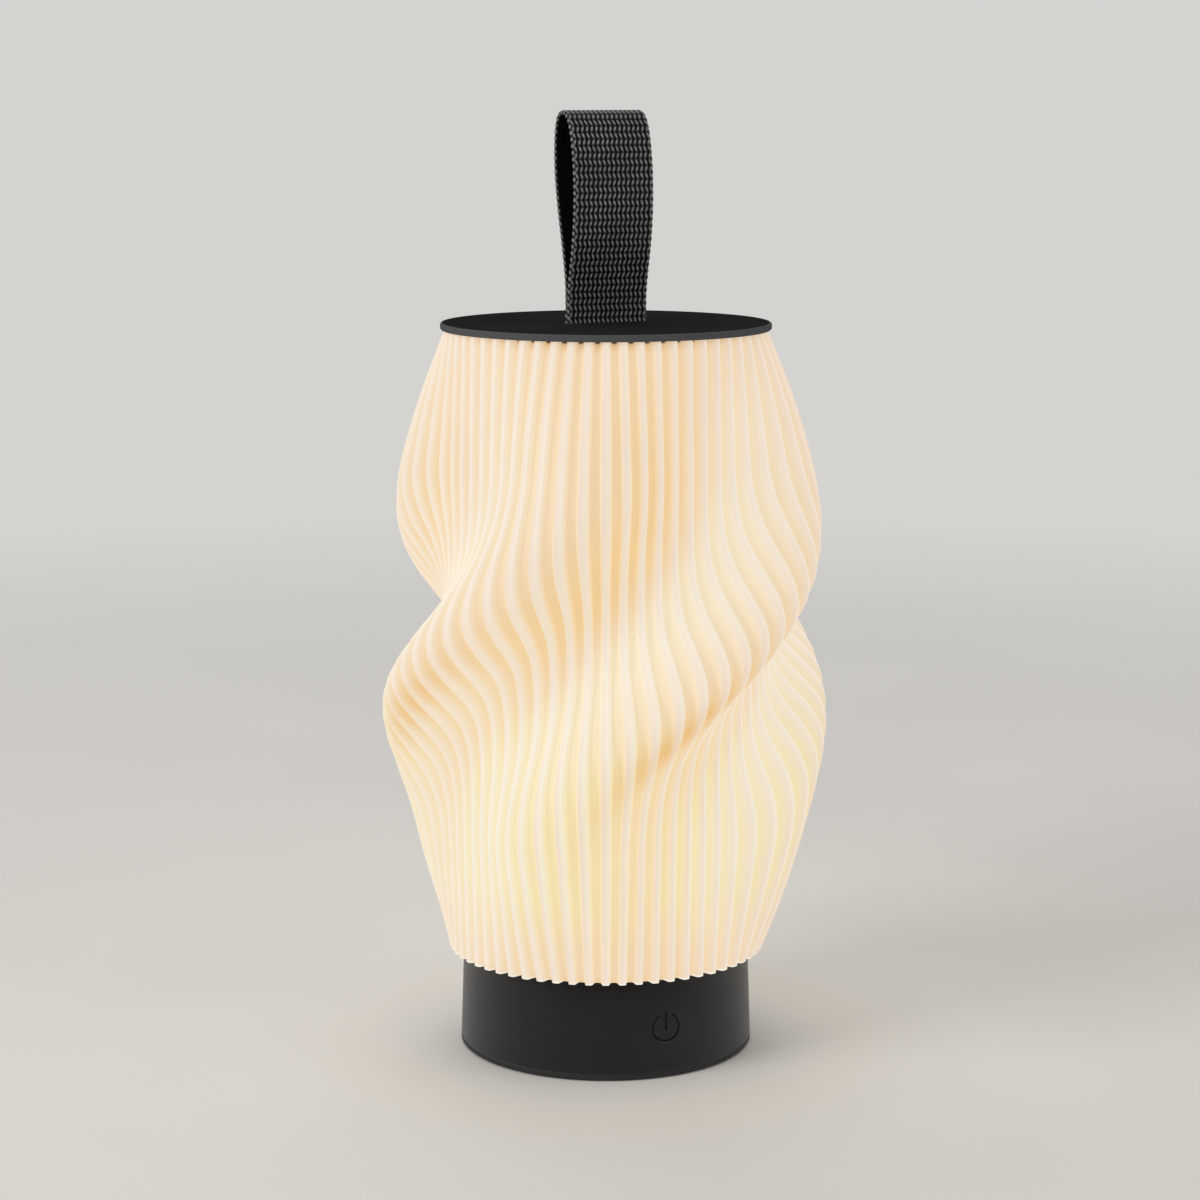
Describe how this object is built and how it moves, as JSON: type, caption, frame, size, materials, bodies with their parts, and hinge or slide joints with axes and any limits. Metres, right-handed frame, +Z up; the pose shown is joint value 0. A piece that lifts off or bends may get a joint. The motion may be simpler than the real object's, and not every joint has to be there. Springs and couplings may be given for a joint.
{
  "type": "rechargeable outdoor table lamp",
  "caption": "Cordless outdoor table lamp: a fluted, glowing shade with twisting lobes on a round black base with a touch switch, under a thin lid with a webbing carrying loop.",
  "frame": {"origin": "middle of the footprint, on the surface that the lamp stands on", "axes": "+Z up; -Y is the front with the power sign, +Y the rear with the charging port; +X to the right as seen from the front"},
  "size_m": [0.1362, 0.1362, 0.2799],
  "materials": {
    "shade_white": "translucent printed plastic, satin",
    "black_plastic": "matt, finely grained",
    "black_rubber": "matt",
    "webbing": "woven nylon with a slight sheen",
    "screw_steel": "zinc plated",
    "cell_wrap": "shrink wrap",
    "grey_plastic": "moulded",
    "circuit_board": "solder resist",
    "dark_components": "moulded",
    "socket_steel": "nickel plated",
    "foil": "bare foil",
    "lead_insulation": "soft insulation",
    "light_board_white": "white coated",
    "phosphor": "phosphor cap",
    "diffuser_white": "translucent, satin"
  },
  "bodies": {
    "lamp": {"shade": "shade_white", "base_housing": "black_plastic", "bottom_cover": "black_plastic", "lid": "black_plastic", "strap_clamp": "black_plastic", "foot_ring": "black_rubber", "cover_gasket": "black_rubber", "strap_ends": "webbing", "cover_screws": "screw_steel", "board_screws": "screw_steel", "light_board_screws": "screw_steel", "collar_screws": "screw_steel", "lid_screws": "screw_steel", "clamp_screws": "screw_steel", "battery_cell": "cell_wrap", "battery_cradle": "grey_plastic", "shade_collar": "grey_plastic", "shade_top_ring": "grey_plastic", "main_board": "circuit_board", "board_parts": "dark_components", "charging_socket": "socket_steel", "touch_pad": "foil", "battery_leads": "lead_insulation", "touch_lead": "lead_insulation", "light_leads": "lead_insulation", "light_board": "light_board_white", "light_chips": "phosphor", "light_diffuser": "diffuser_white"},
    "strap": {"strap_loop": "webbing"},
    "port_flap": {"port_cover": "black_rubber"}
  },
  "joints": [
    {"name": "strap_fold", "type": "hinge", "parent": "lamp", "child": "strap", "pos_m": [0, 0, 0.22005], "axis": [1, 0, 0], "range_deg": [-75, 75], "stiffness_Nm_per_rad": 0.02},
    {"name": "port_cover_hinge", "type": "hinge", "parent": "lamp", "child": "port_flap", "pos_m": [-0.00735, 0.0432, 0.0142], "axis": [0, 0, 1], "range_deg": [0, 120], "stiffness_Nm_per_rad": 0.002}
  ]
}
